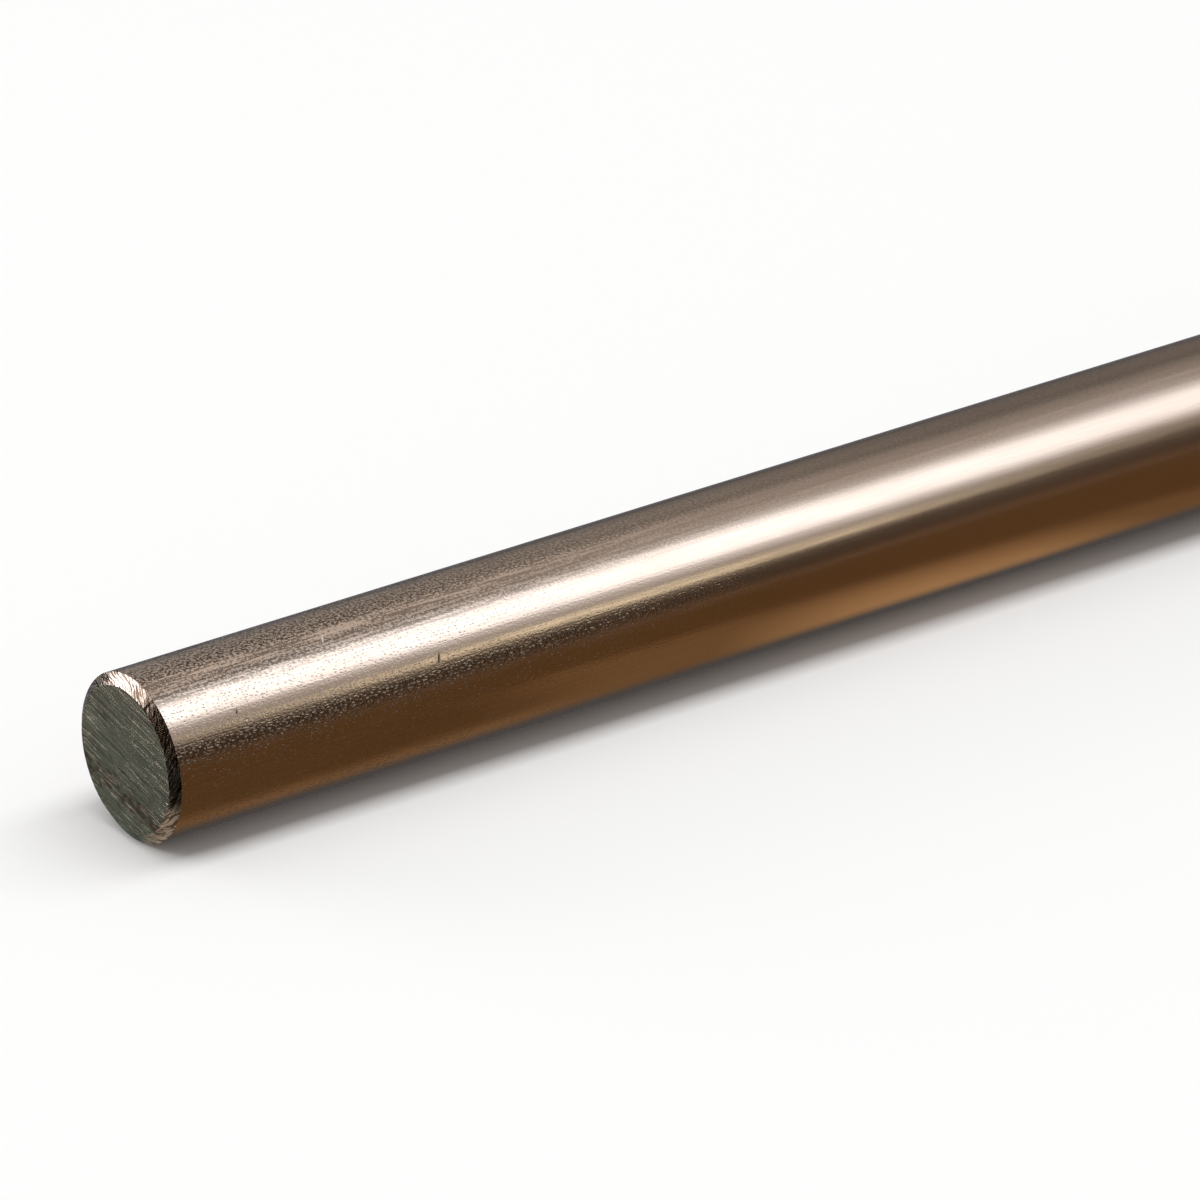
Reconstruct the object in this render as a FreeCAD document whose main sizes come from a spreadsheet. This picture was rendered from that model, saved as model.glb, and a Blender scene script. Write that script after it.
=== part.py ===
"""A length of round bar in a bronze-coloured copper alloy, sawn square and chamfered at both ends.

The bar is one solid piece. It lies on its side along X, with z = 0 on the surface that it lies on
and the origin under the middle of its length. The near end is at -X and the far end at +X.
All sizes are in millimetres.
"""

import FreeCAD
import Part

import math
import os

import Sketcher

PARTS_FOLDER = "parts"

# Alias, value and meaning of each driving dimension.
SIZES = (
    ("bar_diameter", "10", "Diameter over the drawn surface"),
    ("bar_length", "300", "Length between the two sawn faces"),
    ("chamfer_along", "0.45", "Depth of the end chamfers, measured along the bar"),
    ("chamfer_across", "0.65", "Depth of the end chamfers, measured across the sawn face"),
)

# Which way along X each end lies, with the name of its chamfer.
ENDS = ((-1, "NearChamfer"), (1, "FarChamfer"))

# Geometry and point numbers, as a sketch counts them.
SKETCH_ORIGIN = (-1, 1)
CIRCLE_CENTRE = (0, 3)

TOLERANCE = 1e-6


def make_sheet(doc):
    """Adds the spreadsheet of driving dimensions, one row for each."""
    sheet = doc.addObject("Spreadsheet::Sheet", "Sizes")
    for row, (alias, value, meaning) in enumerate(SIZES, start=1):
        sheet.set(f"A{row}", meaning)
        sheet.set(f"B{row}", value)
        sheet.setAlias(f"B{row}", alias)
    doc.recompute()
    return sheet


def origin_plane(body, role):
    """One of the body's own origin planes, found by its role."""
    return next(plane for plane in body.Origin.OriginFeatures if plane.Role == role)


def draw_section(body):
    """The bar's round section, centred on its axis and square to it."""
    section = body.newObject("Sketcher::SketchObject", "BarSection")
    section.AttachmentSupport = (origin_plane(body, "YZ_Plane"), [""])
    section.MapMode = "FlatFace"
    circle = section.addGeometry(Part.Circle())
    section.addConstraint(Sketcher.Constraint("Coincident", *CIRCLE_CENTRE, *SKETCH_ORIGIN))
    diameter = section.addConstraint(Sketcher.Constraint("Diameter", circle, 1))
    section.renameConstraint(diameter, "bar_diameter")
    section.setExpression("Constraints.bar_diameter", "Sizes.bar_diameter")
    return section


def draw_bar(body, section):
    """The drawn bar before its ends are chamfered, half its length to each side of the section."""
    bar = body.newObject("PartDesign::Pad", "DrawnBar")
    bar.Profile = section
    bar.SideType = "Symmetric"
    bar.setExpression("Length", "Sizes.bar_length")
    return bar


def end_edge(feature, side):
    """Name of the round edge of the sawn face on that side."""
    reach = [side * edge.CenterOfMass.x for edge in feature.Shape.Edges]
    return f"Edge{reach.index(max(reach)) + 1}"


def chamfer_end(body, feature, side, name):
    """Takes the sharp rim off one sawn face, deeper across the face than along the bar."""
    chamfer = body.newObject("PartDesign::Chamfer", name)
    chamfer.Base = (feature, [end_edge(feature, side)])
    chamfer.ChamferType = "Two distances"
    chamfer.setExpression("Size", "Sizes.chamfer_along")
    chamfer.setExpression("Size2", "Sizes.chamfer_across")
    return chamfer


def make_bar(doc):
    """The whole bar as one body, lifted by its radius so that it lies on z = 0."""
    body = doc.addObject("PartDesign::Body", "RoundBar")
    body.Label = "round_bar"
    bar = draw_bar(body, draw_section(body))
    doc.recompute()
    for side, name in ENDS:
        bar = chamfer_end(body, bar, side, name)
        doc.recompute()
    body.setExpression(".Placement.Base.z", "Sizes.bar_diameter / 2")
    doc.recompute()
    return body


def sawn_faces(shape):
    """The flat faces at the two ends, near one first."""
    flat = [face for face in shape.Faces if isinstance(face.Surface, Part.Plane)]
    return sorted(flat, key=lambda face: face.CenterOfMass.x)


def check(doc, sheet, body):
    """Stops the build if a feature failed or the solid isn't the bar that the sizes describe."""
    for item in doc.Objects:
        if {"Invalid", "Error"} & set(item.State):
            raise RuntimeError(f"{item.Name} failed: {item.State}")
    shape = body.Shape
    if shape.isNull() or not shape.isValid() or len(shape.Solids) != 1:
        raise RuntimeError("the bar isn't one valid solid")
    box = shape.BoundBox
    face_radius = sheet.bar_diameter / 2 - sheet.chamfer_across
    near, far = sawn_faces(shape)
    expected = (
        (box.XLength, sheet.bar_length),
        (box.YLength, sheet.bar_diameter),
        (box.ZLength, sheet.bar_diameter),
        (box.ZMin, 0),
        (near.Area, math.pi * face_radius**2),
        (far.Area, math.pi * face_radius**2),
    )
    for found, wanted in expected:
        if abs(found - wanted) > TOLERANCE * max(1, wanted):
            raise RuntimeError(f"the bar measures {found} where {wanted} was wanted")


def main():
    """Builds the bar, checks it and writes its STEP file."""
    doc = FreeCAD.newDocument("RoundBarStock")
    sheet = make_sheet(doc)
    body = make_bar(doc)
    check(doc, sheet, body)
    os.makedirs(PARTS_FOLDER, exist_ok=True)
    body.Shape.exportStep(os.path.join(PARTS_FOLDER, f"{body.Label}.step"))
    print(f"{body.Label}: volume {body.Shape.Volume:.1f} mm3, {len(body.Shape.Faces)} faces")


main()
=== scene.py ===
"""A length of drawn bronze bar, sawn square and chamfered by hand, dressed and lit for its picture.

The bar lies along X with its near end at -X, and z = 0 is the surface that it lies on. Sizes are in
metres unless a name says otherwise. Round the bar, an angle of zero points up and a quarter turn
points at -Y, the side that the camera sees.
"""

import logging
import math
from dataclasses import dataclass, field
from enum import Enum

import bmesh
import bpy
import numpy as np
from mathutils import Matrix, Vector
from mathutils.geometry import delaunay_2d_cdt


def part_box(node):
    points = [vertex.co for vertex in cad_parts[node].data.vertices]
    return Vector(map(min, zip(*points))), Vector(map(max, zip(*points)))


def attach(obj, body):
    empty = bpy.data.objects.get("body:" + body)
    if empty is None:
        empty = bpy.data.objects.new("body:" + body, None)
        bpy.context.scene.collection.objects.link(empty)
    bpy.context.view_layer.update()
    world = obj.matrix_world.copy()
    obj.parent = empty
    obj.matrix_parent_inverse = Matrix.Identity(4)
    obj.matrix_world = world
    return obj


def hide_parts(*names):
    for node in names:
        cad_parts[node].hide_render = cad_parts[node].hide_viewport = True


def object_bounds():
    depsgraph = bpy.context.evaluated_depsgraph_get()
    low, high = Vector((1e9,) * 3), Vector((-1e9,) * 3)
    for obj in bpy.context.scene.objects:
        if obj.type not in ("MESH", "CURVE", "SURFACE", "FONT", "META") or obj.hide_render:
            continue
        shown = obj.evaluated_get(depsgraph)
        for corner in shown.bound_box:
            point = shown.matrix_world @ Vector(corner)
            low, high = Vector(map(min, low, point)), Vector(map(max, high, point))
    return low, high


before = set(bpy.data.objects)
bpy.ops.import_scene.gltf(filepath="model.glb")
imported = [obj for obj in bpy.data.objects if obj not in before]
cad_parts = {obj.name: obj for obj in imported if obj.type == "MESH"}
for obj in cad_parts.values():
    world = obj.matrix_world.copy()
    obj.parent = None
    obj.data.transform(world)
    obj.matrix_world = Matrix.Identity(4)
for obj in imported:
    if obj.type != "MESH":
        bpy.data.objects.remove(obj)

CAD_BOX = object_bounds()
BAR_NODE = "round_bar"
MILLIMETRE = 0.001
MICRON = 1e-6
BLACK = (0.0, 0.0, 0.0)

# Names of the maps that the finishes and the cards read.
SKIN_MAP = "unrolled_mm"
CARD_MAP = "card"

# Lowest and highest level of a cloudy pattern.
CLOUD_LOW = 0.3
CLOUD_HIGH = 0.7

# Where a Mix node has its two colours among its inputs, and the mixed one among its outputs.
MIX_INPUTS = (6, 7)
MIX_OUTPUT = 2

# Place between two rows of a ripple's table, at which a single wavy line is read.
MID_ROW = 0.5

# Seeds of the lines that the die left in the skin, and of the skin's long waves.
LINE_SEED = 5
WAVE_SEED = 6

# What the seed of an end's file strokes adds to the seed of its saw marks.
RIM_SEED_STEP = 20

# The triangulation keeps the triangles inside the outline, and merges no vertices farther apart.
FILL_INSIDE = 1
MERGE_DISTANCE = 1e-9

# Share of a lamp's direction that lies along X, under which it hangs straight above or beside the bar.
STRAIGHT_OVER = 0.1

# Height above the floor of the cards that lie on it, and how far they reach from the bar's middle.
CARD_HEIGHT = 0.02 * MILLIMETRE
CARD_REACH = 1.9

LOG = logging.getLogger("bar")

Colour = tuple[float, float, float]
Point = tuple[float, float, float]
Span = tuple[float, float]
Shares = tuple[float, float, float]
Face = tuple[int, ...]
Socket = bpy.types.NodeSocket
Object = bpy.types.Object
Material = bpy.types.Material


class End(Enum):
    """The two ends of the bar, by the way along X that each one faces."""

    NEAR = -1
    FAR = 1


class Surface(Enum):
    """The three surfaces that the bar shows, in the order of its material slots."""

    DRAWN = 0
    FILED = 1
    SAWN = 2


# Seed of each end's marks, and the angle of its saw marks in degrees.
END_MARKS = {End.NEAR: (11, -12.0), End.FAR: (47, -24.0)}


def place_in_scene(name: str, data: bpy.types.ID) -> Object:
    """Makes an object and links it to the scene.

    Args:
        name: Name of the object.
        data: Its mesh, lamp or camera.

    Returns:
        The object.
    """
    made = bpy.data.objects.new(name, data)
    bpy.context.scene.collection.objects.link(made)
    return made


def stand(thing: Object, place: Vector, right: Vector, up: Vector, back: Vector) -> None:
    """Puts a camera or a lamp in its place.

    Args:
        thing: The camera or lamp.
        place: Where it stands.
        right: Direction of its right side.
        up: Direction of its top.
        back: Direction opposite to the one that it faces.
    """
    turned = Matrix((right, up, back)).transposed().to_4x4()
    thing.matrix_world = Matrix.Translation(place) @ turned


def rectangle(low: Vector, high: Vector) -> tuple[list[Vector], list[Span]]:
    """Finds the corners of a flat rectangle that is square to X, Y or Z.

    Args:
        low: Its lowest corner.
        high: Its highest corner, level with the other one along X, Y or Z.

    Returns:
        Its four corners in their order round it, and the place of each one on its plane, in metres.
    """
    thin = min(range(3), key=lambda axis: high[axis] - low[axis])
    first, second = (axis for axis in range(3) if axis != thin)
    corners = []
    for ends in ((0, 0), (1, 0), (1, 1), (0, 1)):
        corner = low.copy()
        corner[first] = (low, high)[ends[0]][first]
        corner[second] = (low, high)[ends[1]][second]
        corners.append(corner)
    return corners, [(corner[first], corner[second]) for corner in corners]


def gather(items: bpy.types.bpy_prop_collection, name: str, kind: type, width: int = 1) -> np.ndarray:
    """Reads one property of all items of a mesh.

    Args:
        items: The mesh's vertices, corners or faces.
        name: The property.
        kind: Type of its numbers.
        width: How many numbers each item has.

    Returns:
        The numbers, one item after another.
    """
    values = np.zeros(len(items) * width, kind)
    items.foreach_get(name, values)
    return values


@dataclass(frozen=True)
class Ripple:
    """Smooth seeded unevenness over a plane, from -1 to 1 and about one unit from crest to hollow.

    Args:
        seed: Picks one pattern out of many.
        cells: How many units the pattern runs before it comes round again.
    """

    seed: int
    cells: int = 256

    def at(self, across: np.ndarray, along: np.ndarray | float = MID_ROW, wrap: int = 0) -> np.ndarray:
        """Reads the unevenness at some places.

        Args:
            across: First coordinate of each place, in units of the pattern.
            along: Second coordinate of each place, in the same units.
            wrap: Whole number of units after which the first coordinate meets itself again.

        Returns:
            The unevenness at each place.
        """
        table = np.random.default_rng(self.seed).uniform(-1, 1, (self.cells, self.cells))
        across, along = np.broadcast_arrays(np.asarray(across, float), np.asarray(along, float))
        turn = wrap or self.cells
        low_u, low_v = np.floor(across).astype(int), np.floor(along).astype(int)
        share_u, share_v = across - low_u, along - low_v
        ease_u = share_u**2 * (3 - 2 * share_u)
        ease_v = share_v**2 * (3 - 2 * share_v)
        first, second = low_u % turn % self.cells, (low_u + 1) % turn % self.cells
        near, far = low_v % self.cells, (low_v + 1) % self.cells
        start = table[first, near] * (1 - ease_u) + table[second, near] * ease_u
        stop = table[first, far] * (1 - ease_u) + table[second, far] * ease_u
        return start * (1 - ease_v) + stop * ease_v


class Recipe:
    """One material and its nodes, put together by short calls."""

    def __init__(self, name: str) -> None:
        """Starts a material.

        Args:
            name: Name of the material.
        """
        self.material = bpy.data.materials.new(name)
        self.material.use_nodes = True
        self.tree = self.material.node_tree
        self.shader = self.tree.nodes["Principled BSDF"]

    def node(self, kind: str, **settings: object) -> bpy.types.Node:
        """Adds a node.

        Args:
            kind: The node's type, without its ShaderNode prefix.
            **settings: Values for the node's own properties.

        Returns:
            The new node.
        """
        made = self.tree.nodes.new("ShaderNode" + kind)
        for key, value in settings.items():
            setattr(made, key, value)
        return made

    def feed(self, socket: Socket, value: object) -> None:
        """Links a socket to another socket, or writes a plain value in it.

        Args:
            socket: The input to fill.
            value: An output socket, a number, or a tuple of numbers.
        """
        if isinstance(value, Socket):
            self.tree.links.new(value, socket)
        else:
            socket.default_value = value

    def chart(self, name: str) -> Socket:
        """The place on one of the mesh's maps."""
        return self.node("UVMap", uv_map=name).outputs["UV"]

    def split(self, place: Socket) -> tuple[Socket, Socket]:
        """Takes a place apart.

        Args:
            place: The place's socket.

        Returns:
            The sockets of its first and second coordinate.
        """
        parts = self.node("SeparateXYZ")
        self.feed(parts.inputs[0], place)
        return parts.outputs[0], parts.outputs[1]

    def maths(self, operation: str, *values: object) -> Socket:
        """Works out one number from others.

        Args:
            operation: The Math node's operation.
            *values: Its inputs, each a socket or a number.

        Returns:
            The result's socket.
        """
        made = self.node("Math", operation=operation)
        for place, value in enumerate(values):
            self.feed(made.inputs[place], value)
        return made.outputs[0]

    def product(self, first: Socket, *others: object) -> Socket:
        """Multiplies numbers.

        Args:
            first: The first number.
            *others: The other ones, each a socket or a number.

        Returns:
            The result's socket.
        """
        for value in others:
            first = self.maths("MULTIPLY", first, value)
        return first

    def relief(self, *layers: tuple[Socket, float], base: object = 0.0) -> Socket:
        """Piles up layers of relief.

        Args:
            *layers: Each layer's pattern, and its height in microns.
            base: The relief to pile them on.

        Returns:
            The socket of the height, in microns.
        """
        for pattern, height in layers:
            base = self.maths("MULTIPLY_ADD", pattern, height, base)
        return base

    def fit(self, value: object, low: float, high: float, start: float, stop: float) -> Socket:
        """Carries a range of numbers over to another one with soft ends.

        Args:
            value: The number to carry over.
            low: Where the range starts.
            high: Where the range stops.
            start: What its start becomes.
            stop: What its stop becomes.

        Returns:
            The result's socket.
        """
        made = self.node("MapRange", interpolation_type="SMOOTHSTEP")
        for place, number in enumerate((value, low, high, start, stop)):
            self.feed(made.inputs[place], number)
        return made.outputs[0]

    def rise(self, value: object, span: Span, full: float = 1.0) -> Socket:
        """A share that goes from 0 to full over a span of the value."""
        return self.fit(value, *span, 0.0, full)

    def fall(self, value: object, span: Span, left: float = 0.0) -> Socket:
        """A share that goes from 1 to what is left over a span of the value."""
        return self.fit(value, *span, 1.0, left)

    def stretch(self, vector: Socket, pitch: Span, turn: float = 0.0) -> Socket:
        """Carries a place over to a pattern, after turning it.

        Args:
            vector: The place's socket.
            pitch: Size of the pattern's unit along each of its directions.
            turn: Angle to turn the place by first, in radians.

        Returns:
            The socket of the place in the pattern.
        """
        turned = self.node("VectorRotate", rotation_type="Z_AXIS")
        self.feed(turned.inputs["Vector"], vector)
        turned.inputs["Angle"].default_value = turn
        scaled = self.node("VectorMath", operation="MULTIPLY")
        self.feed(scaled.inputs[0], turned.outputs[0])
        scaled.inputs[1].default_value = (1 / pitch[0], 1 / pitch[1], 1)
        return scaled.outputs[0]

    def blend(self, share: object, first: object, second: object) -> Socket:
        """Goes from one colour to another.

        Args:
            share: How far towards the second colour, from 0 to 1.
            first: A colour or its socket.
            second: A colour or its socket.

        Returns:
            The socket of the colour.
        """
        made = self.node("Mix", data_type="RGBA")
        self.feed(made.inputs["Factor"], share)
        for place, colour in zip(MIX_INPUTS, (first, second)):
            self.feed(made.inputs[place], colour if isinstance(colour, Socket) else (*colour, 1.0))
        return made.outputs[MIX_OUTPUT]

    def pass_over(self, value: object, span: Span, first: object, second: object) -> Socket:
        """Goes from one colour to another over a span of the value."""
        return self.blend(self.rise(value, span), first, second)

    def emboss(self, height: Socket) -> None:
        """Gives the shader a relief.

        Args:
            height: The relief's height, in microns.
        """
        bump = self.node("Bump")
        bump.inputs["Strength"].default_value = 1.0
        bump.inputs["Distance"].default_value = MICRON
        self.feed(bump.inputs["Height"], height)
        self.feed(self.shader.inputs["Normal"], bump.outputs["Normal"])

    def finish_metal(self, colour: Socket, roughness: Socket) -> Material:
        """Makes the shader a metal of that colour and roughness.

        Args:
            colour: The metal's colour.
            roughness: Its roughness.

        Returns:
            The finished material.
        """
        self.shader.inputs["Metallic"].default_value = 1.0
        self.feed(self.shader.inputs["Base Color"], colour)
        self.feed(self.shader.inputs["Roughness"], roughness)
        return self.material


@dataclass(frozen=True)
class Grain:
    """One layer of stretched unevenness in a finish.

    Args:
        pitch: Distance from crest to crest along the finish's two directions, in millimetres.
        height: Height of its relief, in microns.
        detail: How many finer layers it has.
        shift: Picks one pattern out of many.
        falloff: How strong each finer layer is beside the one before it.
    """

    pitch: Span
    height: float = 0.0
    detail: float = 2.0
    shift: float = 0.0
    falloff: float = 0.55

    def draw(self, recipe: Recipe, place: Socket, turn: float = 0.0) -> Socket:
        """Draws the layer.

        Args:
            recipe: The material to draw in.
            place: A place on the surface, in millimetres.
            turn: Angle of its first direction, in radians.

        Returns:
            The socket of the unevenness, between about 0.3 and 0.7.
        """
        made = recipe.node("TexNoise", noise_dimensions="4D")
        recipe.feed(made.inputs["Vector"], recipe.stretch(place, self.pitch, -turn))
        made.inputs["W"].default_value = self.shift
        made.inputs["Scale"].default_value = 1.0
        made.inputs["Detail"].default_value = self.detail
        made.inputs["Roughness"].default_value = self.falloff
        return made.outputs["Fac"]


@dataclass(frozen=True)
class Pits:
    """Small hollows, about one in each cell of a wandering grid.

    Args:
        pitch: Distance from pit to pit round the bar and along it, in millimetres.
        radius: Radius of a pit, as a share of that distance.
        depth: Depth of the deepest pit, in microns.
        shallowest: Depth of the shallowest one, as a share of that.
        wander: How far the pits lie from an even grid, from 0 to 1.
    """

    pitch: Span
    radius: float
    depth: float
    shallowest: float
    wander: float = 0.7

    def draw(self, recipe: Recipe, skin: Socket) -> Socket:
        """Draws the pits.

        Args:
            recipe: The material to draw in.
            skin: A place on the unrolled skin, in millimetres.

        Returns:
            The socket of how deep a place lies, from 0 outside the pits to 1 at the bottom of the deepest.
        """
        cells = recipe.node("TexVoronoi", voronoi_dimensions="2D")
        recipe.feed(cells.inputs["Vector"], recipe.stretch(skin, self.pitch))
        cells.inputs["Scale"].default_value = 1.0
        cells.inputs["Randomness"].default_value = self.wander
        hollow = recipe.fall(cells.outputs["Distance"], (0.0, self.radius))
        chance = recipe.node("SeparateColor")
        recipe.feed(chance.inputs[0], cells.outputs["Color"])
        depth = recipe.fit(chance.outputs[0], 0.0, 1.0, self.shallowest, 1.0)
        return recipe.product(hollow, depth)


@dataclass(frozen=True)
class Nick:
    """One small mark that something hard left in the skin.

    Args:
        place: Way round from the top and along from the middle of the bar, in millimetres.
        reach: Its half-length round the bar and along it, in millimetres.
        depth: Its depth, in microns.
        turn: Angle by which it is turned, in degrees.
        dirty: True where the residue and painted shade colour darkens it, and false where its colour paints a
            bright glint.
    """

    place: Span
    reach: Span
    depth: float
    turn: float = 0.0
    dirty: bool = False

    def draw(self, recipe: Recipe, skin: Socket) -> Socket:
        """Draws the mark.

        Args:
            recipe: The material to draw in.
            skin: A place on the unrolled skin, in millimetres.

        Returns:
            The socket of how deep a place lies, from 0 outside the mark to 1 at its bottom.
        """
        moved = recipe.node("VectorMath", operation="SUBTRACT")
        recipe.feed(moved.inputs[0], skin)
        recipe.feed(moved.inputs[1], (*self.place, 0.0))
        length = recipe.node("VectorMath", operation="LENGTH")
        turn = -math.radians(self.turn)
        recipe.feed(length.inputs[0], recipe.stretch(moved.outputs[0], self.reach, turn))
        return recipe.fall(length.outputs["Value"], (0.0, 1.0))


@dataclass(frozen=True)
class DrawnFinish:
    """Bright drawn bronze: wavy lengthwise lines, fine grain and dull tiny pits, with brown residue and
    painted shade.

    Ways round the bar from its top and distances from its nearer end are in millimetres.

    Args:
        metal: Colour of the clean metal.
        tarnish: Colour where it has dulled.
        residue_and_painted_shade: Colour of the low places, brown residue and painted shade together.
        bottom: Colour of the bottoms of the pits.
        bare_and_painted_glint: Colour of the bright nicks, fresh bare metal with a painted glint.
        roughness: Lowest and highest roughness.
        dull: What the bottom of a pit or nick adds to it.
        lines: The wavy lines along the bar.
        grain: The fine grain.
        clouds: Where the metal has dulled.
        tarnished: Levels of that between which the metal dulls.
        tarnishing: How far it dulls.
        pits: The dense fine pits.
        dashes: The sparse longer ones.
        bottoms: Depths in a pit between which its bottom starts.
        nicks: Single marks near the near end.
        grain_shares: Share of the grain, beside the lines, in the pattern of the residue and painted shade
        on the crown and past it.
        low_places: Levels of that pattern between which the residue and painted shade go from full to none.
        crown: Ways round between which the residue and painted shade thin out first.
        sides: Ways round between which they thin out again.
        residue_and_shade_shares: How full the residue and painted shade lie on the crown, past it and on the
            sides.
        flanks: Ways round between which the relief gets deeper.
        relief_shares: How deep the grain and pits are on the crown, past it and on the flanks.
        flank_bottoms: How much larger the bottoms of the pits are on the flanks.
        underside: Ways round between which the pits' bottoms get smaller again.
        under_pits: What is left of them there.
        inwards: Distances between which the skin gets smoother.
        inner_texture: What is left of the relief, pits, residue and painted shade there.
        satin: Distances between which it also gets more satin.
        inner_roughness: What that adds to the roughness.
    """

    metal: Colour = (0.82, 0.62, 0.49)
    tarnish: Colour = (0.76, 0.56, 0.43)
    residue_and_painted_shade: Colour = (0.16, 0.110, 0.080)
    bottom: Colour = (0.64, 0.54, 0.46)
    bare_and_painted_glint: Colour = (1.0, 0.90, 0.82)
    roughness: Span = (0.13, 0.19)
    dull: float = 0.37
    lines: Grain = Grain((0.18, 4.2), 4.2, 2.0, 5.0)
    grain: Grain = Grain((0.15, 0.20), 7.0, 1.0, 2.0)
    clouds: Grain = Grain((3.0, 14.0), 0.0, 3.0, 9.0)
    tarnished: Span = (0.35, 0.75)
    tarnishing: float = 0.8
    pits: Pits = Pits((0.22, 0.29), 0.42, 4.0, 0.35)
    dashes: Pits = Pits((0.16, 0.50), 0.38, 5.0, 0.0)
    bottoms: Span = (0.35, 0.78)
    nicks: tuple[Nick, ...] = (
        Nick((1.70, -137.80), (0.62, 0.09), 6.0, -27.0),
        Nick((4.94, -131.63), (0.55, 0.10), 9.0, -21.0, dirty=True),
        Nick((4.45, -145.10), (0.36, 0.10), 9.0, -21.0, dirty=True),
        Nick((5.00, -144.65), (0.11, 0.11), 14.0),
    )
    grain_shares: Span = (0.85, 0.42)
    low_places: Span = (0.46, 0.55)
    crown: Span = (0.7, 1.2)
    sides: Span = (2.3, 3.2)
    residue_and_shade_shares: Shares = (1.0, 0.8, 0.12)
    flanks: Span = (5.25, 5.7)
    relief_shares: Shares = (2.6, 0.55, 2.0)
    flank_bottoms: float = 1.85
    underside: Span = (5.9, 6.6)
    under_pits: float = 0.45
    inwards: Span = (8.0, 52.0)
    inner_texture: float = 0.12
    satin: Span = (15.0, 90.0)
    inner_roughness: float = 0.04

    def make(self) -> Material:
        """Builds the finish.

        Returns:
            The material, which reads the bar's unrolled map in millimetres.
        """
        recipe = Recipe("drawn_bronze")
        skin = recipe.chart(SKIN_MAP)
        from_top, from_middle = (recipe.maths("ABSOLUTE", way) for way in recipe.split(skin))
        from_end = recipe.maths("SUBTRACT", CAD_BOX[1].x / MILLIMETRE, from_middle)
        texture = recipe.fall(from_end, self.inwards, self.inner_texture)
        lines, grain = self.lines.draw(recipe, skin), self.grain.draw(recipe, skin)
        pits, dashes = self.pits.draw(recipe, skin), self.dashes.draw(recipe, skin)
        height = recipe.relief((pits, -self.pits.depth), (dashes, -self.dashes.depth))
        height = recipe.relief((grain, self.grain.height), base=height)
        height = recipe.product(height, self.steps(recipe, from_top, self.flanks, self.relief_shares))
        height = recipe.product(recipe.relief((lines, self.lines.height), base=height), texture)
        fewer = recipe.product(pits, recipe.fall(from_top, self.underside, self.under_pits))
        larger = recipe.fit(from_top, *self.flanks, 1.0, self.flank_bottoms)
        hollow = recipe.product(recipe.maths("MAXIMUM", fewer, dashes), texture, larger)
        bottoms = recipe.rise(hollow, self.bottoms)
        dulled = recipe.rise(self.clouds.draw(recipe, skin), self.tarnished, self.tarnishing)
        colour = recipe.blend(dulled, self.metal, self.tarnish)
        # Residue and painted shade: dark colour in the low places, standing in for the contrast that the
        # grain's relief mirrors.
        colour = recipe.blend(self.residue_and_shade_share(recipe, from_top, grain, lines, texture), colour, self.residue_and_painted_shade)
        colour = recipe.blend(bottoms, colour, self.bottom)
        for nick in self.nicks:
            mark = nick.draw(recipe, skin)
            height = recipe.relief((mark, -nick.depth), base=height)
            bottoms = recipe.maths("MAXIMUM", bottoms, mark)
            # A dirty nick takes the colour of the residue and painted shade; the others get a painted glint.
            colour = recipe.blend(mark, colour, self.residue_and_painted_shade if nick.dirty else self.bare_and_painted_glint)
        recipe.emboss(height)
        roughness = recipe.fit(lines, CLOUD_HIGH, CLOUD_LOW, *self.roughness)
        roughness = recipe.maths("ADD", roughness, recipe.rise(from_end, self.satin, self.inner_roughness))
        return recipe.finish_metal(colour, recipe.maths("MULTIPLY_ADD", bottoms, self.dull, roughness))

    def residue_and_shade_share(self, recipe: Recipe, from_top: Socket, grain: Socket, lines: Socket, texture: Socket) -> Socket:
        """Draws the residue and painted shade in the low places, thickest on the crown of the bar.

        Args:
            recipe: The material to draw in.
            from_top: Way round from the top, in millimetres.
            grain: The fine grain.
            lines: The wavy lines.
            texture: How full the texture is.

        Returns:
            The socket of how full the residue and painted shade lie.
        """
        grain_share = recipe.fit(from_top, *self.crown, *self.grain_shares)
        difference = recipe.maths("SUBTRACT", grain, lines)
        level = recipe.maths("MULTIPLY_ADD", difference, grain_share, lines)
        share = self.steps(recipe, from_top, self.sides, self.residue_and_shade_shares)
        return recipe.product(recipe.fall(level, self.low_places), share, texture)

    def steps(self, recipe: Recipe, from_top: Socket, outer: Span, shares: Shares) -> Socket:
        """Draws a share that changes past the crown and once more farther round.

        Args:
            recipe: The material to draw in.
            from_top: Way round from the top, in millimetres.
            outer: Ways round between which the second change lies, in millimetres.
            shares: The share on the crown, past it and past the second change.

        Returns:
            The socket of the share.
        """
        crown, past, side = shares
        first = recipe.fit(from_top, *self.crown, crown - past, 0.0)
        return recipe.maths("ADD", first, recipe.fit(from_top, *outer, past, side))


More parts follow.
